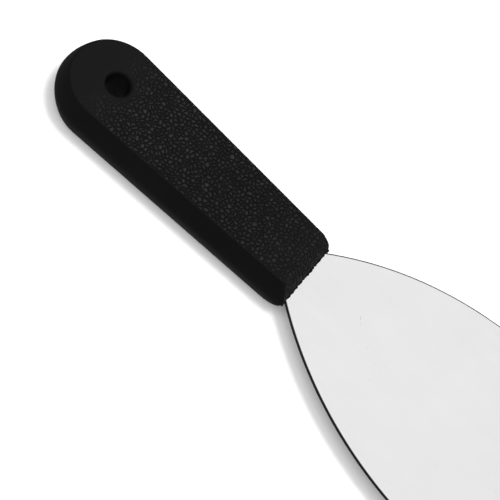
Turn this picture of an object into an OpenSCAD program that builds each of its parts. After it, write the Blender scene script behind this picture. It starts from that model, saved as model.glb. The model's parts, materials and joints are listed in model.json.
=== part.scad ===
// Flared scraper: one stamped steel blade with a hidden tang, and one handle moulded round that tang.
// Millimetres. +X runs along the handle towards the working edge, +Z is up, and the scraper lies on
// the flat underside of its handle at z = 0. The origin is under the middle of the whole tool.

/* [Blade] */
// Width of the blade at its working edge
blade_w = 89; // [80:1:96]
// Length of blade that stands out of the handle
blade_reach = 110; // [104:1:120]
// Thickness of the sheet
blade_t = 1.2; // [0.9:0.1:1.6]
// Radius of the long arc along each flank
flank_r = 145.7; // [140:0.1:160]
// Width of the blade where it leaves the handle
neck_w = 26.4; // [24:0.2:28]
// Radius of the two corners of the working edge
edge_corner_r = 2; // [1:0.5:5]
// Length of the ground bevel behind the working edge
grind_len = 4; // [2:0.5:8]
// Thickness left at the working edge
grind_t = 0.5; // [0.3:0.1:0.8]

/* [Handle] */
// Length of the handle
handle_len = 115.5; // [110:0.5:125]
// Thickness of the handle
handle_t = 17.6; // [15:0.2:20]
// Widest width at the butt
butt_w = 38.8; // [36:0.2:42]
// Widest width at the front
front_w = 31.8; // [30:0.2:34]
// How far each side leans in between its middle and its top edge
side_inset = 2.7; // [1:0.1:4]
// How far the front slopes back between its middle and its top edge
front_inset = 5.3; // [3:0.1:8]
// How full the sides and the front are: 1 is flat, 2 is round
fullness = 1.6; // [1:0.1:2]
// Rounding of the top and bottom edges
brow_r = 0.8; // [0.4:0.1:1.5]
// Radius of the front corners, seen from above
corner_r = 1; // [0.5:0.1:3]

/* [Hanging hole] */
// Diameter of the hole
hole_d = 9; // [7:0.5:11]
// Distance of its middle from the end of the butt
hole_back = 20.8; // [18:0.1:22]
// Rounding of each rim
rim_r = 1.3; // [0.5:0.1:1.5]

/* [Tang] */
// Width of the tang inside the handle
tang_w = 20; // [16:0.5:22]
// Length of the tang inside the handle
tang_len = 82; // [70:0.5:82]
// Diameter of the holes that lock the plastic to the tang
lock_d = 7; // [5:0.5:9]
// Number of lock holes
lock_count = 3; // [1:1:4]

/* [Hidden] */

$fn = 96;
FLANK_FN = 256;
HULL_FN = 32;
// Levels between the middle of the handle's thickness and its brow
LEVELS = 6;
// Steps round the quarter arc of the brow
BROW_STEPS = 4;
eps = 0.01;

half_t = handle_t / 2;
// The front line, where steel meets plastic, and the height of the blade's middle
front_x = (handle_len - blade_reach) / 2;
mid_z = half_t;

// The flank arcs turn parallel to the tool at their apex. The sides run straight from there to the
// working edge.
flank_drop = (blade_w - neck_w) / 2;
apex_x = sqrt(pow(flank_r, 2) - pow(flank_r - flank_drop, 2));
flank_y = flank_r - blade_w / 2;

butt_r = butt_w / 2;
butt_x = butt_r - handle_len;
hole_x = hole_back - handle_len;

lock_first = -19;
lock_margin = 38;
lock_pitch = (tang_len - lock_margin) / max(lock_count - 1, 1);

// The outline of the handle at each level of one half: [height, side inset, front inset]. It rises
// to the brow along a power curve, and then turns over the brow's own quarter arc.
brow_z = half_t - brow_r;
function lean(z) = pow(z / half_t, fullness);
function level(z) = [z, side_inset * lean(z), front_inset * lean(z)];
function brow_level(a) =
    [
        brow_z + brow_r * sin(a),
        side_inset * lean(brow_z) + brow_r * (1 - cos(a)),
        front_inset * lean(brow_z) + brow_r * (1 - cos(a))
    ];
upper_levels = concat(
    [for (i = [0 : LEVELS]) level(brow_z * i / LEVELS)],
    [for (i = [1 : BROW_STEPS]) brow_level(90 * i / BROW_STEPS)]
);

// ---- blade -------------------------------------------------------------

// Both flanks, from inside the handle to the apex, and the parallel stretch beyond it
module flank_plan() {
    intersection() {
        translate([apex_x, -flank_y]) circle(r = flank_r, $fn = FLANK_FN);
        translate([apex_x, flank_y]) circle(r = flank_r, $fn = FLANK_FN);
        translate([-tang_len / 2, -blade_w / 2]) square([tang_len / 2 + apex_x, blade_w]);
    }
    if (blade_reach > apex_x)
        translate([apex_x - eps, -blade_w / 2]) square([blade_reach - apex_x + eps, blade_w]);
}

// Everything behind the working edge, with that edge's two corners rounded
module edge_limit() {
    r = edge_corner_r;
    translate([-tang_len, -blade_w]) square([tang_len + blade_reach - r, 2 * blade_w]);
    translate([-tang_len, r - blade_w / 2]) square([tang_len + blade_reach, blade_w - 2 * r]);
    for (side = [-1, 1])
        translate([blade_reach - r, side * (blade_w / 2 - r)]) circle(r = r);
}

// Straight tang with a round end
module tang_plan() {
    r = tang_w / 2;
    translate([r - tang_len, -r]) square([tang_len - r, tang_w]);
    translate([r - tang_len, 0]) circle(r = r);
}

module blade_plan() {
    difference() {
        union() {
            intersection() {
                flank_plan();
                edge_limit();
            }
            tang_plan();
        }
        for (i = [0 : lock_count - 1])
            translate([lock_first - i * lock_pitch, 0]) circle(d = lock_d);
    }
}

// Wedge of steel that the grinder takes off one face along the working edge
module grind_wedge() {
    drop = (blade_t - grind_t) / 2;
    rotate([90, 0, 0])
        linear_extrude(height = 2 * blade_w, center = true)
            polygon([
                [blade_reach - grind_len, blade_t / 2],
                [blade_reach + 1, blade_t / 2 - drop * (grind_len + 1) / grind_len],
                [blade_reach + 1, blade_t],
                [blade_reach - grind_len, blade_t]
            ]);
}

module blade_solid() {
    difference() {
        linear_extrude(height = blade_t, center = true) blade_plan();
        grind_wedge();
        mirror([0, 0, 1]) grind_wedge();
    }
}

// ---- handle ------------------------------------------------------------

// Half section of the round butt
module butt_section() {
    polygon(concat(
        [[0, 0]],
        [for (l = upper_levels) [butt_r - l[1], l[0]]],
        [[0, half_t]]
    ));
}

// One front corner, level by level
module front_corner() {
    for (l = upper_levels)
        translate([-l[2] - corner_r, front_w / 2 - l[1] - corner_r, l[0] - eps])
            cylinder(r = corner_r, h = eps, $fn = HULL_FN);
}

module upper_half_points() {
    translate([butt_x, 0, 0]) rotate_extrude($fn = 3 * HULL_FN) butt_section();
    front_corner();
    mirror([0, 1, 0]) front_corner();
}

module handle_body() {
    hull() {
        upper_half_points();
        mirror([0, 0, 1]) upper_half_points();
    }
}

// The hole and its two softly rounded rims, as one cutter
module hang_cutter() {
    hole_r = hole_d / 2;
    cylinder(r = hole_r, h = handle_t + 2, center = true);
    for (side = [0, 1])
        mirror([0, 0, side])
            translate([0, 0, half_t])
                rotate_extrude()
                    difference() {
                        translate([0, -rim_r]) square([hole_r + rim_r, rim_r + 1]);
                        translate([hole_r + rim_r, -rim_r]) circle(r = rim_r);
                    }
}

module handle_solid() {
    difference() {
        handle_body();
        translate([hole_x, 0, 0]) hang_cutter();
        blade_solid();
    }
}

// ---- the two pieces, where they lie ------------------------------------

module blade() {
    color("gainsboro") translate([front_x, 0, mid_z]) blade_solid();
}

module handle() {
    color("#1c1c1d") translate([front_x, 0, mid_z]) handle_solid();
}

blade();
handle();
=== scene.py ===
"""Flared bench scraper: the moulded handle, the stamped blade, the plastic that crept over the steel,
and a small studio round them.

Every length is in metres and every piece is built where the CAD frame has it: +X runs to the working
edge, +Z is up, and the scraper lies on the underside of its handle at z = 0.
"""

import json
import math

import bpy
import numpy as np
from bpy.props import FloatProperty, FloatVectorProperty, IntProperty, PointerProperty
from mathutils import Matrix, Vector
from mathutils.geometry import delaunay_2d_cdt


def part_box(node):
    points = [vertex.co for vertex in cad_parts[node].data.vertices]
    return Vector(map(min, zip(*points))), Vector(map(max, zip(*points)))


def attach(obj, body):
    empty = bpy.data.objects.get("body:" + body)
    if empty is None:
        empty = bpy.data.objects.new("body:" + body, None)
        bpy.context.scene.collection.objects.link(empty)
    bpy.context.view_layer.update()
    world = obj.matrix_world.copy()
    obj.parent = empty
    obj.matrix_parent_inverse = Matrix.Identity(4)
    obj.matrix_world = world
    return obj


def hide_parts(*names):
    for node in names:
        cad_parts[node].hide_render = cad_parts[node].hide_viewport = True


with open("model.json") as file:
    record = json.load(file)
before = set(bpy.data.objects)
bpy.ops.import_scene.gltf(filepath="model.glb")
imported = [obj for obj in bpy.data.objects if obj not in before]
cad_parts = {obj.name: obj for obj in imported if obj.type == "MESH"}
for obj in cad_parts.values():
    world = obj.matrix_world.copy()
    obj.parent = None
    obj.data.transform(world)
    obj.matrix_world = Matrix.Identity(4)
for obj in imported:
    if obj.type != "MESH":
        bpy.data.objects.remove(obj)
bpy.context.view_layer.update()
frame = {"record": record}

bl_info = {
    "name": "Flared Bench Scraper",
    "version": (1, 0, 0),
    "blender": (4, 5, 0),
    "location": "3D View > Sidebar > Scraper",
    "description": "Builds a bench scraper with a pebbled handle and a satin steel blade",
    "category": "Add Mesh",
}

MM = 0.001
BODY = "root"

# ---- what the CAD frame says ------------------------------------------------------

HANDLE_LOW, HANDLE_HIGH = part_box("handle")
BLADE_LOW, BLADE_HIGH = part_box("blade")
HANG_HOLE = next(m for m in frame["record"]["mounts"] if m["name"] == "hanging_hole")

FRONT_X = HANDLE_HIGH.x
MID_Z = (HANDLE_LOW.z + HANDLE_HIGH.z) / 2
HALF_T = (HANDLE_HIGH.z - HANDLE_LOW.z) / 2
BUTT_R = (HANDLE_HIGH.y - HANDLE_LOW.y) / 2
BUTT_X = HANDLE_LOW.x + BUTT_R
HOLE_X = HANG_HOLE["pos_m"][0]
HOLE_R = HANG_HOLE["dims"]["r_mm"] * MM
BLADE_HALF_T = (BLADE_HIGH.z - BLADE_LOW.z) / 2
BLADE_HALF_W = (BLADE_HIGH.y - BLADE_LOW.y) / 2
EDGE_X = BLADE_HIGH.x
TANG_END = BLADE_LOW.x


def linear(code):
    """An sRGB hex colour as linear RGB."""
    channels = [int(code[i : i + 2], 16) / 255 for i in (1, 3, 5)]
    return tuple(c / 12.92 if c <= 0.04045 else ((c + 0.055) / 1.055) ** 2.4 for c in channels)


# ---- settings a user would change -------------------------------------------------

LENGTH = {"unit": "LENGTH", "subtype": "DISTANCE"}
COLOUR = {"size": 3, "min": 0.0, "max": 1.0, "subtype": "COLOR"}


class ScraperHandleSettings(bpy.types.PropertyGroup):
    """Sizes and colour of the moulded handle."""

    front_width: FloatProperty(
        name="Front width",
        description="Widest width of the handle at its front",
        default=31.8 * MM,
        **LENGTH,
    )
    side_inset: FloatProperty(
        name="Side inset",
        description="How far each side leans in between its middle and its top edge",
        default=2.7 * MM,
        **LENGTH,
    )
    front_inset: FloatProperty(
        name="Front inset",
        description="How far the front slopes back between its middle and its top edge",
        default=5.3 * MM,
        **LENGTH,
    )
    fullness: FloatProperty(
        name="Fullness",
        description="How full the sides and the front are: 1 is flat, 2 is round",
        default=1.6,
        min=1.0,
        max=2.0,
    )
    brow: FloatProperty(
        name="Brow radius",
        description="Rounding of the top and bottom edges",
        default=0.8 * MM,
        **LENGTH,
    )
    corner: FloatProperty(
        name="Corner radius",
        description="Radius of the two front corners, seen from above",
        default=1.0 * MM,
        **LENGTH,
    )
    rim: FloatProperty(
        name="Rim radius",
        description="Rounding of each rim of the hanging hole",
        default=1.3 * MM,
        **LENGTH,
    )
    spacing: FloatProperty(
        name="Mesh spacing",
        description="Distance between neighbouring points of the grained faces",
        default=0.37 * MM,
        **LENGTH,
    )
    grain_pitch: FloatProperty(
        name="Grain pitch",
        description="Distance from one pebble of the grain to the next",
        default=1.6 * MM,
        **LENGTH,
    )
    grain_depth: FloatProperty(
        name="Grain depth",
        description="Depth of the valleys between the pebbles",
        default=0.3 * MM,
        **LENGTH,
    )
    colour: FloatVectorProperty(
        name="Plastic colour",
        description="Colour of the moulded plastic",
        default=linear("#0f0f0f"),
        **COLOUR,
    )


class ScraperBladeSettings(bpy.types.PropertyGroup):
    """Sizes and colour of the stamped blade."""

    flank_radius: FloatProperty(
        name="Flank radius",
        description="Radius of the long arc along each flank",
        default=145.7 * MM,
        **LENGTH,
    )
    neck_width: FloatProperty(
        name="Neck width",
        description="Width of the blade where it leaves the handle",
        default=26.4 * MM,
        **LENGTH,
    )
    corner: FloatProperty(
        name="Corner radius",
        description="Radius of the two corners of the working edge",
        default=2.0 * MM,
        **LENGTH,
    )
    grind_length: FloatProperty(
        name="Grind length",
        description="Length of the ground bevel behind the working edge",
        default=4.0 * MM,
        **LENGTH,
    )
    grind_thickness: FloatProperty(
        name="Edge thickness",
        description="Thickness left at the working edge",
        default=0.5 * MM,
        **LENGTH,
    )
    tang_width: FloatProperty(
        name="Tang width",
        description="Width of the tang inside the handle",
        default=20.0 * MM,
        **LENGTH,
    )
    edge_break: FloatProperty(
        name="Edge break",
        description="Width of the tumbled chamfer along the stamped edges",
        default=0.12 * MM,
        **LENGTH,
    )
    # Besides the drop, this is the width over which the painted shade of the edges fades out onto the
    # faces
    die_roll: FloatProperty(
        name="Die roll",
        description="Width over which the punch pulled the faces down beside the stamped edges",
        default=0.6 * MM,
        **LENGTH,
    )
    colour: FloatVectorProperty(
        name="Steel colour",
        description="Colour of the satin steel",
        default=linear("#cccccd"),
        **COLOUR,
    )


class ScraperFlashSettings(bpy.types.PropertyGroup):
    """The bead of plastic that crept out at the mouth of the mould."""

    reach: FloatProperty(
        name="Reach",
        description="How far the bead runs out over the steel at most",
        default=0.6 * MM,
        **LENGTH,
    )
    seed: IntProperty(
        name="Seed",
        description="Which ragged edge the bead gets",
        default=7,
    )


class ScraperStageSettings(bpy.types.PropertyGroup):
    """Floor, lights and camera."""

    floor_size: FloatProperty(
        name="Floor size",
        description="Width of the square floor",
        default=6.0,
        **LENGTH,
    )
    softbox_power: FloatProperty(
        name="Softbox power",
        description="Power of the softbox that the steel mirrors",
        default=8.7,
        unit="POWER",
    )
    flood_power: FloatProperty(
        name="Flood power",
        description="Power of the flood that whitens the floor",
        default=16.0,
        unit="POWER",
    )
    fill_power: FloatProperty(
        name="Fill power",
        description="Power of the fill that softens the shadow",
        default=22.0,
        unit="POWER",
    )
    surround: FloatProperty(
        name="Surround",
        description="Brightness of the white studio all round",
        default=0.25,
        min=0.0,
    )
    camera_distance: FloatProperty(
        name="Camera distance",
        description="Distance from the camera to the point it looks at",
        default=461.68 * MM,
        **LENGTH,
    )
    camera_tilt: FloatProperty(
        name="Camera tilt",
        description="Angle of the line of sight from the vertical",
        default=math.radians(31.04),
        unit="ROTATION",
        subtype="ANGLE",
    )
    camera_turn: FloatProperty(
        name="Camera turn",
        description="Direction of the camera round the scraper, from the working edge",
        default=math.radians(-94.49),
        unit="ROTATION",
        subtype="ANGLE",
    )
    camera_roll: FloatProperty(
        name="Camera roll",
        description="Turn of the camera about its line of sight",
        default=math.radians(-46.95),
        unit="ROTATION",
        subtype="ANGLE",
    )
    lens: FloatProperty(
        name="Lens",
        description="Focal length in millimetres, on a sensor 36 mm wide",
        default=93.6,
    )


# ---- shared helpers ---------------------------------------------------------------

# The two colour inputs of a Mix node and its colour output
MIX_A = 6
MIX_B = 7
MIX_COLOUR = 2
# The values between which a noise mostly stays
NOISE_LOW = 0.3
NOISE_HIGH = 0.7
# Turns points seen from above over to the other side of the middle line
MIRROR = np.array([1.0, -1.0])


def add_node(tree, kind, inputs=None, **settings):
    """Adds one node with its settings. An input given a socket is linked, any other gets its value."""
    node = tree.nodes.new(kind)
    for name, value in settings.items():
        setattr(node, name, value)
    for name, value in (inputs or {}).items():
        if isinstance(value, bpy.types.NodeSocket):
            tree.links.new(value, node.inputs[name])
        else:
            node.inputs[name].default_value = value
    return node


def new_material(name):
    """An empty node material with its Principled shader wired to the output."""
    material = bpy.data.materials.new(name)
    material.use_nodes = True
    tree = material.node_tree
    tree.nodes.clear()
    shader = add_node(tree, "ShaderNodeBsdfPrincipled")
    add_node(tree, "ShaderNodeOutputMaterial", {"Surface": shader.outputs["BSDF"]})
    return material, tree, shader


def new_tree(name, inputs):
    """A geometry node group with named inputs. Returns it and its input sockets."""
    tree = bpy.data.node_groups.new(name, "GeometryNodeTree")
    face = tree.interface
    face.new_socket("Geometry", in_out="INPUT", socket_type="NodeSocketGeometry")
    for label, kind in inputs.items():
        face.new_socket(label, in_out="INPUT", socket_type=kind)
    face.new_socket("Geometry", in_out="OUTPUT", socket_type="NodeSocketGeometry")
    return tree, add_node(tree, "NodeGroupInput").outputs


def finish_tree(tree, geometry, material):
    """Ends a node group in real geometry that carries its material."""
    real = add_node(tree, "GeometryNodeRealizeInstances", {"Geometry": geometry}).outputs[0]
    coated = add_node(
        tree, "GeometryNodeSetMaterial", {"Material": material, "Geometry": real}
    ).outputs[0]
    add_node(tree, "NodeGroupOutput", {"Geometry": coated})
    return tree


def new_mesh_object(name, points, faces, sharp_angle):
    """A smooth-shaded object at the origin, with the edges above an angle kept crisp."""
    mesh = bpy.data.meshes.new(name)
    mesh.from_pydata([tuple(p) for p in points], [], [tuple(f) for f in faces])
    if mesh.validate():
        raise RuntimeError(f"{name}: the mesh was built with broken faces")
    mesh.shade_smooth()
    mesh.set_sharp_from_angle(angle=sharp_angle)
    piece = bpy.data.objects.new(name, mesh)
    bpy.context.scene.collection.objects.link(piece)
    return piece


def arc(centre, radius, start, end, steps):
    """Points along an arc, both ends included."""
    angles = np.linspace(start, end, steps + 1)
    return np.stack([centre[0] + radius * np.cos(angles), centre[1] + radius * np.sin(angles)], 1)


SHORTEST = 1e-9


def inside_distance(points, ring):
    """How far inside a counterclockwise convex ring each point lies."""
    best = np.full(len(points), np.inf)
    for a, b in zip(ring, np.roll(ring, -1, axis=0)):
        edge = b - a
        length = np.hypot(*edge)
        if length < SHORTEST:
            continue
        across = (edge[0] * (points[:, 1] - a[1]) - edge[1] * (points[:, 0] - a[0])) / length
        best = np.minimum(best, across)
    return best


def ring_distance(points, ring):
    """Distance from each point to the nearest point of a ring, convex or not."""
    best = np.full(len(points), np.inf)
    for a, b in zip(ring, np.roll(ring, -1, axis=0)):
        edge = b - a
        along = np.clip(((points - a) @ edge) / max(edge @ edge, SHORTEST**2), 0, 1)
        gap = points - a - along[:, None] * edge
        best = np.minimum(best, np.hypot(gap[:, 0], gap[:, 1]))
    return best


def inside_ring(points, ring):
    """Whether each point lies inside a closed ring, by counting crossings."""
    inside = np.zeros(len(points), bool)
    for a, b in zip(ring, np.roll(ring, -1, axis=0)):
        spans = (a[1] > points[:, 1]) != (b[1] > points[:, 1])
        if not spans.any():
            continue
        cross_x = (b[0] - a[0]) * (points[:, 1] - a[1]) / (b[1] - a[1]) + a[0]
        inside ^= spans & (points[:, 0] < cross_x)
    return inside


# How far the filling keeps from an outline, in spacings, and how near points fall together, in mm
FILL_MARGIN = 0.6
FILL_TOLERANCE = 1e-7


def fill_outline(outline, holes, spacing, convex):
    """Fills a flat outline with even triangles.

    Returns the points, the outline first and then each hole, and the faces, all facing +Z.
    """
    low = outline.min(0)
    high = outline.max(0)
    row_step = spacing * math.sqrt(3) / 2
    rows = []
    for i, y in enumerate(np.arange(low[1], high[1], row_step)):
        xs = np.arange(low[0] + (i % 2) * spacing / 2, high[0], spacing)
        rows.append(np.stack([xs, np.full(len(xs), y)], 1))
    grid = np.concatenate(rows)
    margin = FILL_MARGIN * spacing
    if convex:
        keep = inside_distance(grid, outline) > margin
    else:
        keep = inside_ring(grid, outline) & (ring_distance(grid, outline) > margin)
    for centre, radius, _ in holes:
        keep &= np.hypot(grid[:, 0] - centre[0], grid[:, 1] - centre[1]) > radius + margin
    rings = [outline]
    rings += [arc(centre, radius, 0, 2 * math.pi, steps)[:-1] for centre, radius, steps in holes]
    points = np.concatenate(rings + [grid[keep]])
    edges = []
    spans = []
    start = 0
    for ring in rings:
        count = len(ring)
        edges += [(start + k, start + (k + 1) % count) for k in range(count)]
        spans.append(range(start, start + count))
        start += count
    filled = delaunay_2d_cdt([Vector(p) for p in points * (1 / MM)], edges, [], 1, FILL_TOLERANCE)
    origin = [source[0] for source in filled[3]]
    faces = []
    for face in filled[2]:
        corners = [origin[v] for v in face]
        # Three corners on one round hole can only span the hole itself
        if any(all(corner in span for corner in corners) for span in spans[1:]):
            continue
        faces.append(corners)
    return points, faces


def ring_wall(lower, upper, count):
    """Quads between two closed rings of equal count, facing outwards round counterclockwise rings."""
    return [
        (lower + k, lower + (k + 1) % count, upper + (k + 1) % count, upper + k)
        for k in range(count)
    ]


# ---- handle -----------------------------------------------------------------------

SIDE_STEPS = 110
BUTT_STEPS = 110
CORNER_STEPS = 7
FRONT_STEPS = 72
SLOPE_LEVELS = 21
BROW_LEVELS = 4
HOLE_STEPS = 72
RIM_STEPS = 6
BORE_STEPS = 6
HANDLE_CREASE = math.radians(40)


def lean(z, fullness):
    """The share of the inset that a height above the middle has, as the part has it."""
    return (abs(z) / HALF_T) ** fullness


def handle_levels(s):
    """Every level from the bottom face to the top: height from the middle, side and front inset."""
    brow_z = HALF_T - s.brow
    upper = []
    for i in range(SLOPE_LEVELS + 1):
        # The levels crowd towards the brow, where the front slopes most
        share = math.sin(math.pi / 2 * i / SLOPE_LEVELS)
        z = brow_z * share
        upper.append((z, s.side_inset * lean(z, s.fullness), s.front_inset * lean(z, s.fullness)))
    side = s.side_inset * lean(brow_z, s.fullness)
    front = s.front_inset * lean(brow_z, s.fullness)
    for i in range(1, BROW_LEVELS + 1):
        turn = math.pi / 2 * i / BROW_LEVELS
        out = s.brow * (1 - math.cos(turn))
        upper.append((brow_z + s.brow * math.sin(turn), side + out, front + out))
    lower = [(-z, side, front) for z, side, front in reversed(upper[1:])]
    return lower + upper


def handle_ring(s, side_inset, front_inset):
    """The outline of the handle at one level, counterclockwise from one end of its front.

    It always has the same count of points.
    """
    radius = BUTT_R - side_inset
    back = np.array([BUTT_X, 0.0])
    corner = np.array(
        [FRONT_X - front_inset - s.corner, s.front_width / 2 - side_inset - s.corner]
    )
    run = corner[0] - back[0]
    rise = corner[1]
    turn = math.atan2(rise, run) + math.acos((radius - s.corner) / math.hypot(run, rise))
    front_x = FRONT_X - front_inset
    front = np.stack(
        [np.full(FRONT_STEPS + 1, front_x), np.linspace(-corner[1], corner[1], FRONT_STEPS + 1)], 1
    )
    near = arc(corner, s.corner, 0, turn, CORNER_STEPS)
    butt = arc(back, radius, turn, 2 * math.pi - turn, BUTT_STEPS)
    share = np.linspace(0, 1, SIDE_STEPS + 1)[1:-1, None]
    side = near[-1] + share * (butt[0] - near[-1])
    return np.concatenate(
        [front, near[1:], side, butt, (side * MIRROR)[::-1], (near * MIRROR)[1:][::-1]]
    )


def smooth_step(value, low, high):
    """0 below low, 1 above high, and a soft curve between."""
    share = np.clip((value - low) / (high - low), 0, 1)
    return share * share * (3 - 2 * share)


# Where the grain fades in beside the hanging hole, and where it weakens towards the front
GRAIN_START = BUTT_X - 6 * MM
GRAIN_FULL = BUTT_X + 16 * MM
GRAIN_WEAK = FRONT_X - 34 * MM
GRAIN_WEAKEST = FRONT_X - 6 * MM
# How deep the grain still is at the front, and how it fades out over the ends of the front
GRAIN_FRONT = 0.62
FRONT_FADE = (0.0, 0.4, 0.8)
# Heights from the middle between which the grain of the front fades in above the steel
FRONT_BARE = 0.7 * MM
FRONT_GRAINED = 2.5 * MM
# Width over which the grain fades in round the rim of the hanging hole
HOLE_CLEAR = 1.2 * MM


def grain_amount(points, rim):
    """How deep the grain is at each point of a flat face, from 0 to 1."""
    x = points[:, 0]
    amount = smooth_step(x, GRAIN_START, GRAIN_FULL)
    amount = amount * (1 - (1 - GRAIN_FRONT) * smooth_step(x, GRAIN_WEAK, GRAIN_WEAKEST))
    gap = np.hypot(x - HOLE_X, points[:, 1]) - (HOLE_R + rim)
    return amount * smooth_step(gap, 0, HOLE_CLEAR)


def build_handle_mesh(s):
    """The closed skin of the handle as points, faces and the grain's depth at every point."""
    levels = handle_levels(s)
    rings = [handle_ring(s, side, front) for _, side, front in levels]
    count = len(rings[0])
    top_ring = rings[-1]
    mouth = ((HOLE_X, 0.0), HOLE_R + s.rim, HOLE_STEPS)
    flat, flat_faces = fill_outline(top_ring, [mouth], s.spacing, True)
    flat_count = len(flat)
    amount = grain_amount(flat, s.rim)

    points = []
    grain = []
    faces = []
    # The bottom face, with its outline and the mouth of the hole first, then the top face
    for height in (MID_Z - HALF_T, MID_Z + HALF_T):
        points.append(np.column_stack([flat, np.full(flat_count, height)]))
        grain.append(amount)
    faces += [face[::-1] for face in flat_faces]
    faces += [[v + flat_count for v in face] for face in flat_faces]

    # The wall, level by level; only its front band carries grain
    ring_start = [0]
    total = 2 * flat_count
    band = np.zeros(count)
    band[: FRONT_STEPS + 1] = 1.0
    band[: len(FRONT_FADE)] = FRONT_FADE
    band[FRONT_STEPS + 1 - len(FRONT_FADE) : FRONT_STEPS + 1] = FRONT_FADE[::-1]
    for (z, _, _), ring in zip(levels[1:-1], rings[1:-1]):
        points.append(np.column_stack([ring, np.full(count, MID_Z + z)]))
        # Full at the brow, and faded out where the plastic meets the steel
        grain.append(GRAIN_FRONT * band * smooth_step(abs(z), FRONT_BARE, FRONT_GRAINED))
        ring_start.append(total)
        total += count
    ring_start.append(flat_count)
    for lower, upper in zip(ring_start, ring_start[1:]):
        faces += ring_wall(lower, upper, count)

    # The hanging hole: a rounded rim, the bore and the other rim
    bore = [
        (HALF_T - s.rim * (1 - math.cos(a)), HOLE_R + s.rim * (1 - math.sin(a)))
        for a in np.linspace(0, math.pi / 2, RIM_STEPS + 1)
    ]
    straight = HALF_T - s.rim
    bore += [(z, HOLE_R) for z in np.linspace(straight, -straight, BORE_STEPS + 1)[1:-1]]
    bore += [(-z, r) for z, r in bore[: RIM_STEPS + 1][::-1]]
    hole_start = [flat_count + count]
    for z, radius in bore[1:-1]:
        ring = arc((HOLE_X, 0.0), radius, 0, 2 * math.pi, HOLE_STEPS)[:-1]
        points.append(np.column_stack([ring, np.full(HOLE_STEPS, MID_Z + z)]))
        grain.append(np.zeros(HOLE_STEPS))
        hole_start.append(total)
        total += HOLE_STEPS
    hole_start.append(count)
    for upper, lower in zip(hole_start, hole_start[1:]):
        faces += ring_wall(upper, lower, HOLE_STEPS)
    return np.concatenate(points), faces, np.concatenate(grain)


# How far the grain's pattern runs on along the handle for each millimetre that the surface drops
GRAIN_WRAP = 0.75
# How far the pebbles are pushed out of shape
GRAIN_WANDER = 0.9 * MM
# How far from its valley, in pitches, a pebble has risen to its full height
PEBBLE_RISE = 0.36


def pebble_cells(tree, place, rate, wander):
    """Distance to the nearest valley of the pebbled grain, in pitches.

    Rate and wander are numbers, or sockets of the tree.
    """
    parts = add_node(tree, "ShaderNodeSeparateXYZ", {0: place}).outputs
    height = add_node(
        tree, "ShaderNodeMath", {0: parts["Z"], 1: MID_Z}, operation="SUBTRACT"
    ).outputs[0]
    away = add_node(tree, "ShaderNodeMath", {0: height}, operation="ABSOLUTE").outputs[0]
    wrapped = add_node(
        tree, "ShaderNodeMath", {0: away, 1: -GRAIN_WRAP, 2: parts["X"]}, operation="MULTIPLY_ADD"
    ).outputs[0]
    flat = add_node(tree, "ShaderNodeCombineXYZ", {"X": wrapped, "Y": parts["Y"]}).outputs[0]
    drift = add_node(
        tree,
        "ShaderNodeTexNoise",
        {"Detail": 0.0, "Vector": flat, "Scale": rate},
        noise_dimensions="2D",
    ).outputs["Color"]
    centred = add_node(
        tree, "ShaderNodeVectorMath", {0: drift, 1: (0.5, 0.5, 0.5)}, operation="SUBTRACT"
    ).outputs[0]
    moved = add_node(
        tree, "ShaderNodeVectorMath", {0: centred, "Scale": wander}, operation="SCALE"
    ).outputs[0]
    wandering = add_node(
        tree, "ShaderNodeVectorMath", {0: flat, 1: moved}, operation="ADD"
    ).outputs[0]
    return add_node(
        tree,
        "ShaderNodeTexVoronoi",
        {"Randomness": 1.0, "Vector": wandering, "Scale": rate},
        voronoi_dimensions="2D",
        feature="DISTANCE_TO_EDGE",
    ).outputs["Distance"]


def grain_tree(material):
    """A node group that presses the grain into a skin, as deep as the attribute "grain" says."""
    sizes = dict.fromkeys(("Depth", "Pitch", "Wander"), "NodeSocketFloat")
    tree, start = new_tree("Pebbled grain", sizes)
    place = add_node(tree, "GeometryNodeInputPosition").outputs[0]
    per_metre = add_node(
        tree, "ShaderNodeMath", {0: 1.0, 1: start["Pitch"]}, operation="DIVIDE"
    ).outputs[0]
    cells = pebble_cells(tree, place, per_metre, start["Wander"])
    valley = add_node(
        tree,
        "ShaderNodeMapRange",
        {"From Min": 0.0, "From Max": PEBBLE_RISE, "To Min": 1.0, "To Max": 0.0, "Value": cells},
        interpolation_type="SMOOTHSTEP",
    ).outputs["Result"]
    amount = add_node(
        tree, "GeometryNodeInputNamedAttribute", {"Name": "grain"}, data_type="FLOAT"
    ).outputs["Attribute"]
    depth = add_node(
        tree, "ShaderNodeMath", {0: valley, 1: start["Depth"]}, operation="MULTIPLY"
    ).outputs[0]
    pressed = add_node(
        tree, "ShaderNodeMath", {0: depth, 1: amount}, operation="MULTIPLY"
    ).outputs[0]
    inward = add_node(
        tree, "ShaderNodeMath", {0: pressed, 1: -1.0}, operation="MULTIPLY"
    ).outputs[0]
    normal = add_node(tree, "GeometryNodeInputNormal").outputs[0]
    offset = add_node(
        tree, "ShaderNodeVectorMath", {0: normal, "Scale": inward}, operation="SCALE"
    ).outputs[0]
    shaped = add_node(
        tree, "GeometryNodeSetPosition", {"Geometry": start["Geometry"], "Offset": offset}
    ).outputs[0]
    return finish_tree(tree, shaped, material)


def apply_tree(piece, tree, values):
    """Runs a node group on a piece and makes the result its plain mesh, without the modifier."""
    modifier = piece.modifiers.new(tree.name, "NODES")
    modifier.node_group = tree
    for item in tree.interface.items_tree:
        if item.in_out == "INPUT" and item.name in values:
            modifier[item.identifier] = values[item.name]
    bpy.context.view_layer.update()
    shown = piece.evaluated_get(bpy.context.evaluated_depsgraph_get())
    mesh = bpy.data.meshes.new_from_object(shown)
    piece.modifiers.remove(modifier)
    old = piece.data
    piece.data = mesh
    bpy.data.meshes.remove(old)
    mesh.name = piece.name


PLASTIC_IOR = 1.49
PLASTIC_SPECULAR = 0.105
PLASTIC_ROUGH_LOW = 0.5
PLASTIC_ROUGH_HIGH = 0.58
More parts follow.
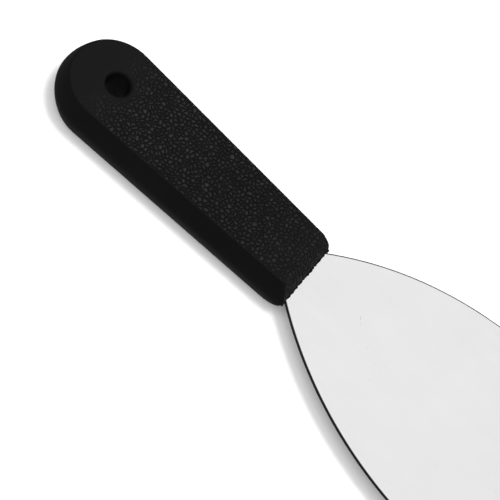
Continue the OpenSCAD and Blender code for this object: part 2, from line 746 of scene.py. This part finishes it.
# How much smoother the tops of the pebbles are, rubbed by hands
PEBBLE_POLISH = 0.18
# Where the painted highlight on a pebble's crown starts and where it is full, in pitches from the
# valley
CROWN_HIGHLIGHT_START = 0.07
CROWN_HIGHLIGHT_FULL = 0.35
# How much lighter the painted highlight makes a crown than the black, the least share of that, and the
# pitches it varies over
CROWN_HIGHLIGHT_GREY = 5.2
CROWN_HIGHLIGHT_LEAST = 0.4
HIGHLIGHT_PITCHES = 1.7
HIGHLIGHT_NOISE_LOW = 0.35
HIGHLIGHT_NOISE_HIGH = 0.65
FLOW_SIZE = 30 * MM
FLOW_SHARE = 0.5
EROSION_SIZE = 0.25 * MM
EROSION_DEPTH = 0.05 * MM
EROSION_STRENGTH = 0.12


def plastic_material(s):
    # Black polypropylene, moulded in a spark-eroded tool: a dull black skin, with a painted highlight
    # of lighter grey on the tops of the pebbles, a soft sheen where it is smooth and a broken one
    # where the grain is.
    material, tree, shader = new_material("black_polypropylene_moulded")
    place = add_node(tree, "ShaderNodeTexCoord").outputs["Object"]
    grain = add_node(
        tree, "ShaderNodeAttribute", attribute_type="GEOMETRY", attribute_name="grain"
    ).outputs["Fac"]
    rate = 1 / s.grain_pitch
    # The same cells that the geometry has, so that the shading falls on the pebbles
    cells = pebble_cells(tree, place, rate, GRAIN_WANDER)
    pebble = add_node(
        tree,
        "ShaderNodeMapRange",
        {"From Min": 0.0, "From Max": PEBBLE_RISE, "Value": cells},
        interpolation_type="SMOOTHSTEP",
    ).outputs["Result"]
    raised = add_node(
        tree, "ShaderNodeMath", {0: pebble, 1: grain}, operation="MULTIPLY"
    ).outputs[0]
    # Painted highlight: the crowns of the pebbles are painted lighter grey, some more than others
    crown_highlight = add_node(
        tree,
        "ShaderNodeMapRange",
        {"From Min": CROWN_HIGHLIGHT_START, "From Max": CROWN_HIGHLIGHT_FULL, "Value": cells},
        interpolation_type="SMOOTHSTEP",
    ).outputs["Result"]
    highlight_noise = add_node(
        tree, "ShaderNodeTexNoise", {"Scale": rate / HIGHLIGHT_PITCHES, "Detail": 1.0, "Vector": place}
    ).outputs["Fac"]
    highlight_share = add_node(
        tree,
        "ShaderNodeMapRange",
        {
            "From Min": HIGHLIGHT_NOISE_LOW,
            "From Max": HIGHLIGHT_NOISE_HIGH,
            "To Min": CROWN_HIGHLIGHT_LEAST,
            "To Max": 1.0,
            "Value": highlight_noise,
        },
    ).outputs["Result"]
    painted_crown_highlight = add_node(
        tree, "ShaderNodeMath", {0: crown_highlight, 1: highlight_share}, operation="MULTIPLY"
    ).outputs[0]
    painted_highlight = add_node(tree, "ShaderNodeMath", {0: painted_crown_highlight, 1: grain}, operation="MULTIPLY").outputs[0]
    # Slow drift of the black, as flow in the mould leaves it
    flow = add_node(
        tree, "ShaderNodeTexNoise", {"Scale": 1 / FLOW_SIZE, "Detail": 2.0, "Vector": place}
    ).outputs["Fac"]
    black = (*s.colour, 1.0)
    # The lighter grey of the crowns is a painted highlight
    highlight_grey = (*[c * CROWN_HIGHLIGHT_GREY for c in s.colour], 1.0)
    tone = add_node(tree, "ShaderNodeMix", {0: painted_highlight, MIX_A: black, MIX_B: highlight_grey}, data_type="RGBA")
    tinted = add_node(
        tree,
        "ShaderNodeMix",
        {0: FLOW_SHARE, MIX_A: tone.outputs[MIX_COLOUR], MIX_B: flow},
        data_type="RGBA",
        blend_type="MULTIPLY",
    )
    tree.links.new(tinted.outputs[MIX_COLOUR], shader.inputs["Base Color"])
    # Erosion texture of the tool, really about 0.18 mm across, drawn coarser so that it shows
    fine = add_node(
        tree, "ShaderNodeTexNoise", {"Scale": 1 / EROSION_SIZE, "Detail": 3.0, "Vector": place}
    ).outputs["Fac"]
    rough = add_node(
        tree,
        "ShaderNodeMapRange",
        {
            "From Min": NOISE_LOW,
            "From Max": NOISE_HIGH,
            "To Min": PLASTIC_ROUGH_LOW,
            "To Max": PLASTIC_ROUGH_HIGH,
            "Value": flow,
        },
    ).outputs["Result"]
    polish = add_node(
        tree, "ShaderNodeMath", {0: raised, 1: -PEBBLE_POLISH}, operation="MULTIPLY"
    ).outputs[0]
    finish = add_node(tree, "ShaderNodeMath", {0: rough, 1: polish}, operation="ADD").outputs[0]
    tree.links.new(finish, shader.inputs["Roughness"])
    small = add_node(
        tree,
        "ShaderNodeBump",
        {"Strength": EROSION_STRENGTH, "Distance": EROSION_DEPTH, "Height": fine},
    ).outputs["Normal"]
    large = add_node(
        tree,
        "ShaderNodeBump",
        {"Strength": 1.0, "Distance": s.grain_depth, "Height": raised, "Normal": small},
    ).outputs["Normal"]
    tree.links.new(large, shader.inputs["Normal"])
    shader.inputs["IOR"].default_value = PLASTIC_IOR
    shader.inputs["Specular IOR Level"].default_value = PLASTIC_SPECULAR
    return material


class SCRAPER_OT_handle(bpy.types.Operator):
    """Builds the moulded handle with its pebbled grain and its hanging hole"""

    bl_idname = "scraper.handle"
    bl_label = "Build handle"

    def execute(self, context):
        s = context.scene.scraper_handle
        points, faces, grain = build_handle_mesh(s)
        piece = new_mesh_object("handle_moulded", points, faces, HANDLE_CREASE)
        layer = piece.data.attributes.new("grain", "FLOAT", "POINT")
        layer.data.foreach_set("value", grain.astype(np.float32))
        material = plastic_material(s)
        piece.data.materials.append(material)
        sizes = {"Depth": s.grain_depth, "Pitch": s.grain_pitch, "Wander": GRAIN_WANDER}
        apply_tree(piece, grain_tree(material), sizes)
        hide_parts("handle")
        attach(piece, BODY)
        return {"FINISHED"}


# ---- blade ------------------------------------------------------------------------

FLANK_STEPS = 90
PARALLEL_STEPS = 8
BLADE_CORNER_STEPS = 8
TANG_STEPS = 24
EDGE_STEPS = 36
BLADE_SPACING = 2.4 * MM
BLADE_CREASE = math.radians(3)
# How far the faces drop where the punch rolled them down
ROLL_DROP = 0.06 * MM
# How much less painted shade the edge walls get along the ground working edge
GRIND_SHADE_CUT = 0.8


def blade_outline(s):
    """The blade and its tang seen from above, counterclockwise."""
    drop = BLADE_HALF_W - s.neck_width / 2
    apex = FRONT_X + math.sqrt(s.flank_radius**2 - (s.flank_radius - drop) ** 2)
    flank_y = s.flank_radius - BLADE_HALF_W
    tang_r = s.tang_width / 2

    # Where the flank runs out into the straight side of the tang
    reach = math.sqrt(s.flank_radius**2 - (tang_r + flank_y) ** 2)
    join = apex - reach
    start = math.acos(reach / s.flank_radius)
    flank = arc((apex, -flank_y), s.flank_radius, math.pi - start, math.pi / 2, FLANK_STEPS)
    corner_y = BLADE_HALF_W - s.corner
    corner = arc((EDGE_X - s.corner, corner_y), s.corner, math.pi / 2, 0, BLADE_CORNER_STEPS)
    runs = np.linspace(apex, EDGE_X - s.grind_length, PARALLEL_STEPS + 1)[1:]
    parallel = np.stack([runs, np.full(len(runs), BLADE_HALF_W)], 1)
    side = np.concatenate([flank, parallel, corner])
    tang_x = TANG_END + tang_r
    runs = np.linspace(join, tang_x, TANG_STEPS + 1)[1:-1]
    straight = np.stack([runs, np.full(len(runs), tang_r)], 1)
    end = arc((tang_x, 0.0), tang_r, math.pi / 2, math.pi * 3 / 2, TANG_STEPS)
    edge = np.linspace(-corner_y, corner_y, EDGE_STEPS + 1)[1:-1]
    front = np.stack([np.full(len(edge), EDGE_X), edge], 1)
    return np.concatenate(
        [front, side[::-1], straight, end, (straight * MIRROR)[::-1], side * MIRROR]
    )


def offset_ring(ring, inset):
    """A ring moved inwards by a small amount, point by point."""
    before = ring - np.roll(ring, 1, axis=0)
    after = np.roll(ring, -1, axis=0) - ring
    before /= np.linalg.norm(before, axis=1)[:, None]
    after /= np.linalg.norm(after, axis=1)[:, None]
    tangent = before + after
    length = np.linalg.norm(tangent, axis=1)[:, None]
    inward = np.stack([-tangent[:, 1], tangent[:, 0]], 1) / length
    return ring + inset * inward


def build_blade_mesh(s):
    """The closed skin of the blade, its faces rolled down and chamfered at the stamped outline.

    Both faces are ground towards the working edge.
    """
    outer = blade_outline(s)
    rolled = offset_ring(outer, s.edge_break)
    inner = offset_ring(outer, s.die_roll)
    flat, flat_faces = fill_outline(inner, [], BLADE_SPACING, False)
    count = len(outer)

    def half_thickness(x):
        share = np.clip((x - (EDGE_X - s.grind_length)) / s.grind_length, 0, 1)
        return BLADE_HALF_T - share * (BLADE_HALF_T - s.grind_thickness / 2)

    face_z = half_thickness(flat[:, 0])
    roll_z = half_thickness(rolled[:, 0]) - ROLL_DROP
    wall_z = half_thickness(outer[:, 0]) - s.edge_break
    points = [np.column_stack([flat, MID_Z + face_z]), np.column_stack([flat, MID_Z - face_z])]
    points += [
        np.column_stack([ring, MID_Z + z])
        for ring, z in ((rolled, roll_z), (outer, wall_z), (outer, -wall_z), (rolled, -roll_z))
    ]
    flat_count = len(flat)
    faces = list(flat_faces)
    faces += [[v + flat_count for v in face[::-1]] for face in flat_faces]
    rings = [0] + [2 * flat_count + i * count for i in range(4)] + [flat_count]
    for upper, lower in zip(rings, rings[1:]):
        faces += ring_wall(lower, upper, count)
    # How much painted shade each point gets: all of it on the stamped edge and its rolled rims, none
    # on the faces
    edge_shade = np.concatenate([np.zeros(2 * flat_count), np.ones(4 * count)])
    on_grind = np.zeros(count)
    on_grind[outer[:, 0] > EDGE_X - s.grind_length] = 1.0
    edge_shade[2 * flat_count :] *= 1 - GRIND_SHADE_CUT * np.tile(on_grind, 4)
    return np.concatenate(points), faces, edge_shade


# The scratch in two strokes, then the specks: centre, half widths, turn and depth
BLADE_MARKS = (
    ((24.9 * MM, 3.0 * MM), (1.3 * MM, 0.28 * MM), math.radians(-62), 1.0),
    ((26.2 * MM, 1.3 * MM), (1.2 * MM, 0.2 * MM), math.radians(-40), 0.6),
    ((12.0 * MM, -10.6 * MM), (0.4 * MM, 0.35 * MM), 0.0, 0.6),
    ((61.2 * MM, 1.8 * MM), (0.5 * MM, 0.3 * MM), 0.6, 0.55),
    ((78.8 * MM, -20.1 * MM), (0.4 * MM, 0.4 * MM), 0.0, 0.45),
    ((41.2 * MM, -13.2 * MM), (0.5 * MM, 0.4 * MM), 0.4, 0.5),
    ((75.2 * MM, 20.7 * MM), (0.4 * MM, 0.3 * MM), 0.0, 0.4),
)


# A smudge left by a hand, as a mark is given, and how the soil of marks and smudge colours the steel
SMUDGE = ((39 * MM, -5 * MM), (15 * MM, 7 * MM), math.radians(-20))
SMUDGE_DEPTH = 0.2
BLOTCH_SIZE = 1.6 * MM
BLOTCH_LOW = 0.5
BLOTCH_HIGH = 0.75
SOIL = (0.42, 0.42, 0.42, 1.0)
# The colour of the painted shade on the stamped edge, and the shares of the shade attribute over which
# it takes over
EDGE_SHADE_COLOUR = "#2a2a2b"
EDGE_SHADE_START = 0.08
EDGE_SHADE_FULL = 0.45
# Length and drawn distance of the belt's lines, with their relief
BELT_LENGTH = 18 * MM
BELT_PITCH = 0.3 * MM
BELT_DEPTH = 0.01 * MM
BELT_STRENGTH = 0.04
STEEL_ROUGH_LOW = 0.30
STEEL_ROUGH_HIGH = 0.36
# Clouds in the finish: their size, and the darkest and lightest they make the steel
CLOUD_SIZE = 22 * MM
CLOUD_DARK = 0.97
CLOUD_LIGHT = 1.02


def mark(tree, place, centre, size, turn):
    """A soft-edged oval on the blade: 1 in its middle and 0 at its rim.

    Its centre is given from the front line and the middle line, and its size as two half widths.
    """
    local = add_node(
        tree,
        "ShaderNodeMapping",
        {
            "Location": (FRONT_X + centre[0], centre[1], MID_Z),
            "Rotation": (0.0, 0.0, turn),
            "Scale": (size[0], size[1], 1.0),
            "Vector": place,
        },
        vector_type="TEXTURE",
    ).outputs[0]
    reach = add_node(tree, "ShaderNodeVectorMath", {0: local}, operation="LENGTH").outputs["Value"]
    return add_node(
        tree,
        "ShaderNodeMapRange",
        {"From Min": 0.0, "From Max": 1.0, "To Min": 1.0, "To Max": 0.0, "Value": reach},
        interpolation_type="SMOOTHSTEP",
    ).outputs["Result"]


def steel_material(s):
    # Stainless sheet with a fine satin finish, stamped and tumbled: an even, pale, slightly blurred
    # reflection with hardly any grain to it, a faint handling smudge, a hair scratch and a few specks,
    # and painted shade darkening the stamped edges.
    material, tree, shader = new_material("stainless_steel_satin")
    place = add_node(tree, "ShaderNodeTexCoord").outputs["Object"]
    edge_shade = add_node(
        tree, "ShaderNodeAttribute", attribute_type="GEOMETRY", attribute_name="edge_shade"
    ).outputs["Fac"]
    # Where the painted shade of the edges takes over from the steel's colour
    face = add_node(
        tree,
        "ShaderNodeMapRange",
        {
            "From Min": EDGE_SHADE_START,
            "From Max": EDGE_SHADE_FULL,
            "To Min": 1.0,
            "To Max": 0.0,
            "Value": edge_shade,
        },
        interpolation_type="SMOOTHSTEP",
    ).outputs["Result"]
    # Belt finish along the blade: lines about 0.05 mm apart, drawn coarser so that a trace shows
    stretched = add_node(
        tree,
        "ShaderNodeMapping",
        {"Scale": (1 / BELT_LENGTH, 1 / BELT_PITCH, 1 / BELT_LENGTH), "Vector": place},
    ).outputs[0]
    lines = add_node(
        tree, "ShaderNodeTexNoise", {"Scale": 1.0, "Detail": 3.0, "Vector": stretched}
    ).outputs["Fac"]
    cloud = add_node(
        tree, "ShaderNodeTexNoise", {"Scale": 1 / CLOUD_SIZE, "Detail": 2.0, "Vector": place}
    ).outputs["Fac"]
    smudge = mark(tree, place, *SMUDGE)
    blotch = add_node(
        tree, "ShaderNodeTexNoise", {"Scale": 1 / BLOTCH_SIZE, "Detail": 4.0, "Vector": place}
    ).outputs["Fac"]
    broken = add_node(
        tree,
        "ShaderNodeMapRange",
        {"From Min": BLOTCH_LOW, "From Max": BLOTCH_HIGH, "Value": blotch},
    ).outputs["Result"]
    stain = add_node(
        tree, "ShaderNodeMath", {0: smudge, 1: broken}, operation="MULTIPLY"
    ).outputs[0]
    dark = (*[c * CLOUD_DARK for c in s.colour], 1.0)
    light = (*[min(c * CLOUD_LIGHT, 1.0) for c in s.colour], 1.0)
    tone = add_node(tree, "ShaderNodeMix", {0: cloud, MIX_A: dark, MIX_B: light}, data_type="RGBA")
    soil = add_node(
        tree, "ShaderNodeMath", {0: stain, 1: SMUDGE_DEPTH}, operation="MULTIPLY"
    ).outputs[0]
    for centre, size, turn, depth in BLADE_MARKS:
        spot = mark(tree, place, centre, size, turn)
        spot = add_node(
            tree, "ShaderNodeMath", {0: spot, 1: depth}, operation="MULTIPLY"
        ).outputs[0]
        soil = add_node(tree, "ShaderNodeMath", {0: soil, 1: spot}, operation="MAXIMUM").outputs[0]
    stained = add_node(
        tree,
        "ShaderNodeMix",
        {0: soil, MIX_A: tone.outputs[MIX_COLOUR], MIX_B: SOIL},
        data_type="RGBA",
    )
    # Painted shade: the stamped edge is painted dark
    edged = add_node(
        tree,
        "ShaderNodeMix",
        {0: face, MIX_A: (*linear(EDGE_SHADE_COLOUR), 1.0), MIX_B: stained.outputs[MIX_COLOUR]},
        data_type="RGBA",
    )
    tree.links.new(edged.outputs[MIX_COLOUR], shader.inputs["Base Color"])
    rough = add_node(
        tree,
        "ShaderNodeMapRange",
        {
            "From Min": NOISE_LOW,
            "From Max": NOISE_HIGH,
            "To Min": STEEL_ROUGH_LOW,
            "To Max": STEEL_ROUGH_HIGH,
            "Value": lines,
        },
    ).outputs["Result"]
    tree.links.new(rough, shader.inputs["Roughness"])
    relief = add_node(
        tree,
        "ShaderNodeBump",
        {"Strength": BELT_STRENGTH, "Distance": BELT_DEPTH, "Height": lines},
    ).outputs["Normal"]
    tree.links.new(relief, shader.inputs["Normal"])
    shader.inputs["Metallic"].default_value = 1.0
    return material


class SCRAPER_OT_blade(bpy.types.Operator):
    """Builds the stamped blade with its tang, its chamfered outline and its ground working edge"""

    bl_idname = "scraper.blade"
    bl_label = "Build blade"

    def execute(self, context):
        s = context.scene.scraper_blade
        points, faces, edge_shade = build_blade_mesh(s)
        piece = new_mesh_object("blade_stamped", points, faces, BLADE_CREASE)
        # The attribute carries the painted shade of the stamped edges
        layer = piece.data.attributes.new("edge_shade", "FLOAT", "POINT")
        layer.data.foreach_set("value", edge_shade.astype(np.float32))
        piece.data.materials.append(steel_material(s))
        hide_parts("blade")
        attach(piece, BODY)
        return {"FINISHED"}


# ---- flash ------------------------------------------------------------------------

# Distance between points along a bead, and the size of its lumps
FLASH_STEP = 0.2 * MM
FLASH_LUMP = 0.9 * MM
# How much fatter the bead of the parting line is than the one over the steel
PARTING_GIRTH = 1.6
# Points round a bead, and the least share of its reach that it ever has
BEAD_SIDES = 10
BEAD_LEAST = 0.15
RAGGED_LOW = 0.32
RAGGED_HIGH = 0.68
# How much of the corner's radius the parting line's bead stays clear of
CORNER_CLEAR = 0.7


def flash_paths(handle, blade):
    """The lines where plastic could leak, and how fat its bead is there.

    They run across each face of the blade and along the mould's parting line beside it.
    """
    neck = blade.neck_width / 2
    shoulder = handle.front_width / 2 - handle.corner * CORNER_CLEAR
    lines = []
    for z in (MID_Z + BLADE_HALF_T, MID_Z - BLADE_HALF_T):
        lines.append(((-neck, z), (neck, z)))
    for side in (-1, 1):
        lines.append(((side * neck, MID_Z), (side * shoulder, MID_Z)))
    points = []
    edges = []
    girth = []
    for (start_y, z), (end_y, _) in lines:
        edges.append((len(points), len(points) + 1))
        points += [(FRONT_X, start_y, z), (FRONT_X, end_y, z)]
        girth += [PARTING_GIRTH if z == MID_Z else 1.0] * 2
    return points, edges, girth


def flash_tree(material):
    """A node group that runs a ragged bead along every edge it is given."""
    sizes = dict.fromkeys(("Reach", "Step", "Lump"), "NodeSocketFloat")
    tree, start = new_tree("Ragged flash", {**sizes, "Seed": "NodeSocketInt"})
    curve = add_node(tree, "GeometryNodeMeshToCurve", {"Mesh": start["Geometry"]}).outputs[0]
    fine = add_node(
        tree, "GeometryNodeResampleCurve", {"Curve": curve, "Length": start["Step"]}, mode="LENGTH"
    ).outputs[0]
    place = add_node(tree, "GeometryNodeInputPosition").outputs[0]
    rate = add_node(
        tree, "ShaderNodeMath", {0: 1.0, 1: start["Lump"]}, operation="DIVIDE"
    ).outputs[0]
    ragged = add_node(
        tree,
        "ShaderNodeTexNoise",
        {"Detail": 3.0, "Vector": place, "Scale": rate, "W": start["Seed"]},
        noise_dimensions="4D",
    ).outputs["Fac"]
    share = add_node(
        tree,
        "ShaderNodeMapRange",
        {
            "From Min": RAGGED_LOW,
            "From Max": RAGGED_HIGH,
            "To Min": BEAD_LEAST,
            "To Max": 1.0,
            "Value": ragged,
        },
    ).outputs["Result"]
    fatness = add_node(
        tree, "GeometryNodeInputNamedAttribute", {"Name": "girth"}, data_type="FLOAT"
    ).outputs["Attribute"]
    most = add_node(
        tree, "ShaderNodeMath", {0: fatness, 1: start["Reach"]}, operation="MULTIPLY"
    ).outputs[0]
    girth = add_node(tree, "ShaderNodeMath", {0: share, 1: most}, operation="MULTIPLY").outputs[0]
    section = add_node(
        tree,
        "GeometryNodeCurvePrimitiveCircle",
        {"Resolution": BEAD_SIDES, "Radius": 1.0},
        mode="RADIUS",
    ).outputs["Curve"]
    bead = add_node(
        tree,
        "GeometryNodeCurveToMesh",
        {"Fill Caps": True, "Curve": fine, "Profile Curve": section, "Scale": girth},
    ).outputs[0]
    smooth = add_node(tree, "GeometryNodeSetShadeSmooth", {"Geometry": bead}).outputs[0]
    return finish_tree(tree, smooth, material)


class SCRAPER_OT_flash(bpy.types.Operator):
    """Builds the ragged flash where the plastic meets the steel"""

    bl_idname = "scraper.flash"
    bl_label = "Build flash"

    def execute(self, context):
        scene = context.scene
        s = scene.scraper_flash
        points, edges, girth = flash_paths(scene.scraper_handle, scene.scraper_blade)
        mesh = bpy.data.meshes.new("handle_flash")
        mesh.from_pydata(points, edges, [])
        mesh.attributes.new("girth", "FLOAT", "POINT").data.foreach_set("value", girth)
        piece = bpy.data.objects.new("handle_flash", mesh)
        scene.collection.objects.link(piece)
        material = plastic_material(scene.scraper_handle)
        sizes = {"Reach": s.reach, "Step": FLASH_STEP, "Lump": FLASH_LUMP, "Seed": s.seed}
        apply_tree(piece, flash_tree(material), sizes)
        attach(piece, BODY)
        return {"FINISHED"}


# ---- stage ------------------------------------------------------------------------

# The point that the camera and the lamps look at
AIM = Vector((FRONT_X - 21.25 * MM, -7.46 * MM, MID_Z))
# Width of the camera's sensor, in millimetres
SENSOR = 36.0
# Direction from the scraper, distance and width of each lamp
SOFTBOX = ((0.2, 0.49, 0.85), 1.4, 1.5)
FLOOD = ((0.14, 0.15, 0.98), 1.6, 0.6)
FILL = ((-0.2, -0.5, 0.84), 1.6, 1.8)
PAPER_DARK = (0.93, 0.93, 0.93, 1.0)
PAPER_LIGHT = (0.95, 0.95, 0.95, 1.0)
PAPER_CLOUDS = 3.0
PAPER_ROUGH = 0.9
PAPER_SPECULAR = 0.1
FLOOR_CREASE = math.radians(30)
CLIP_NEAR = 0.01
CLIP_FAR = 20.0


def look_matrix(place, back, roll):
    """A camera or lamp matrix at a place, looking against the direction back, turned by roll."""
    across = Vector((0.0, 0.0, 1.0)).cross(back).normalized()
    above = back.cross(across)
    right = across * math.cos(roll) - above * math.sin(roll)
    up = across * math.sin(roll) + above * math.cos(roll)
    turn = Matrix((right, up, back)).transposed().to_4x4()
    return Matrix.Translation(place) @ turn


def floor_material():
    # Seamless studio paper: matt, nearly white, with a breath of unevenness
    material, tree, shader = new_material("studio_paper")
    place = add_node(tree, "ShaderNodeTexCoord").outputs["Object"]
    drift = add_node(
        tree, "ShaderNodeTexNoise", {"Scale": PAPER_CLOUDS, "Detail": 2.0, "Vector": place}
    ).outputs["Fac"]
    tone = add_node(
        tree, "ShaderNodeMix", {0: drift, MIX_A: PAPER_DARK, MIX_B: PAPER_LIGHT}, data_type="RGBA"
    )
    tree.links.new(tone.outputs[MIX_COLOUR], shader.inputs["Base Color"])
    shader.inputs["Roughness"].default_value = PAPER_ROUGH
    shader.inputs["Specular IOR Level"].default_value = PAPER_SPECULAR
    return material


def add_softbox(name, direction, distance, size, power):
    """A square area lamp that shines at the scraper from a direction."""
    lamp = bpy.data.lights.new(name, "AREA")
    lamp.shape = "SQUARE"
    lamp.size = size
    lamp.energy = power
    light = bpy.data.objects.new(name, lamp)
    bpy.context.scene.collection.objects.link(light)
    back = Vector(direction).normalized()
    light.matrix_world = look_matrix(AIM + back * distance, back, 0.0)
    return light


class SCRAPER_OT_stage(bpy.types.Operator):
    """Sets the floor, the lights, the surround and the camera"""

    bl_idname = "scraper.stage"
    bl_label = "Set stage"

    def execute(self, context):
        scene = context.scene
        s = scene.scraper_stage
        half = s.floor_size / 2
        corners = [(-half, -half, 0), (half, -half, 0), (half, half, 0), (-half, half, 0)]
        floor = new_mesh_object("floor", corners, [(0, 1, 2, 3)], FLOOR_CREASE)
        floor.data.materials.append(floor_material())
        # The floor whitens what stands on it but leaves no mirror image of itself in the plastic
        floor.visible_glossy = False

        add_softbox("softbox_overhead", *SOFTBOX, s.softbox_power)
        # These two light matt surfaces only, so that they leave no second reflection in the steel
        flood = add_softbox("flood", *FLOOD, s.flood_power)
        fill = add_softbox("fill", *FILL, s.fill_power)
        for lamp in (flood, fill):
            lamp.visible_glossy = False

        world = bpy.data.worlds.new("white_surround")
        world.use_nodes = True
        backdrop = world.node_tree.nodes["Background"]
        backdrop.inputs["Color"].default_value = (1.0, 1.0, 1.0, 1.0)
        backdrop.inputs["Strength"].default_value = s.surround
        scene.world = world

        camera = bpy.data.cameras.new("camera")
        camera.sensor_width = SENSOR
        camera.lens = s.lens
        camera.clip_start = CLIP_NEAR
        camera.clip_end = CLIP_FAR
        holder = bpy.data.objects.new("camera", camera)
        scene.collection.objects.link(holder)
        back = Vector(
            (
                math.sin(s.camera_tilt) * math.cos(s.camera_turn),
                math.sin(s.camera_tilt) * math.sin(s.camera_turn),
                math.cos(s.camera_tilt),
            )
        )
        holder.matrix_world = look_matrix(AIM + back * s.camera_distance, back, s.camera_roll)
        scene.camera = holder
        scene.view_settings.view_transform = "Standard"
        return {"FINISHED"}


class SCRAPER_PT_sidebar(bpy.types.Panel):
    """Lists what builds the scraper"""

    bl_label = "Bench Scraper"
    bl_idname = "SCRAPER_PT_sidebar"
    bl_space_type = "VIEW_3D"
    bl_region_type = "UI"
    bl_category = "Scraper"

    def draw(self, context):
        scene = context.scene
        for name, kind in SETTINGS.items():
            column = self.layout.column()
            for setting in kind.__annotations__:
                column.prop(getattr(scene, name), setting)
        for operator in OPERATORS:
            self.layout.operator(operator.bl_idname)


SETTINGS = {
    "scraper_handle": ScraperHandleSettings,
    "scraper_blade": ScraperBladeSettings,
    "scraper_flash": ScraperFlashSettings,
    "scraper_stage": ScraperStageSettings,
}
OPERATORS = (SCRAPER_OT_handle, SCRAPER_OT_blade, SCRAPER_OT_flash, SCRAPER_OT_stage)


def register():
    """Registers the settings, the operators and the panel."""
    for group in SETTINGS.values():
        bpy.utils.register_class(group)
    for name, group in SETTINGS.items():
        setattr(bpy.types.Scene, name, PointerProperty(type=group))
    for operator in OPERATORS:
        bpy.utils.register_class(operator)
    bpy.utils.register_class(SCRAPER_PT_sidebar)


def unregister():
    """Takes the panel, the operators and the settings away again."""
    bpy.utils.unregister_class(SCRAPER_PT_sidebar)
    for operator in reversed(OPERATORS):
        bpy.utils.unregister_class(operator)
    for name, group in reversed(SETTINGS.items()):
        delattr(bpy.types.Scene, name)
        bpy.utils.unregister_class(group)


def main():
    """Builds the pieces and the stage."""
    register()
    bpy.ops.scraper.handle()
    bpy.ops.scraper.blade()
    bpy.ops.scraper.flash()
    bpy.ops.scraper.stage()


if __name__ == "__main__":
    main()
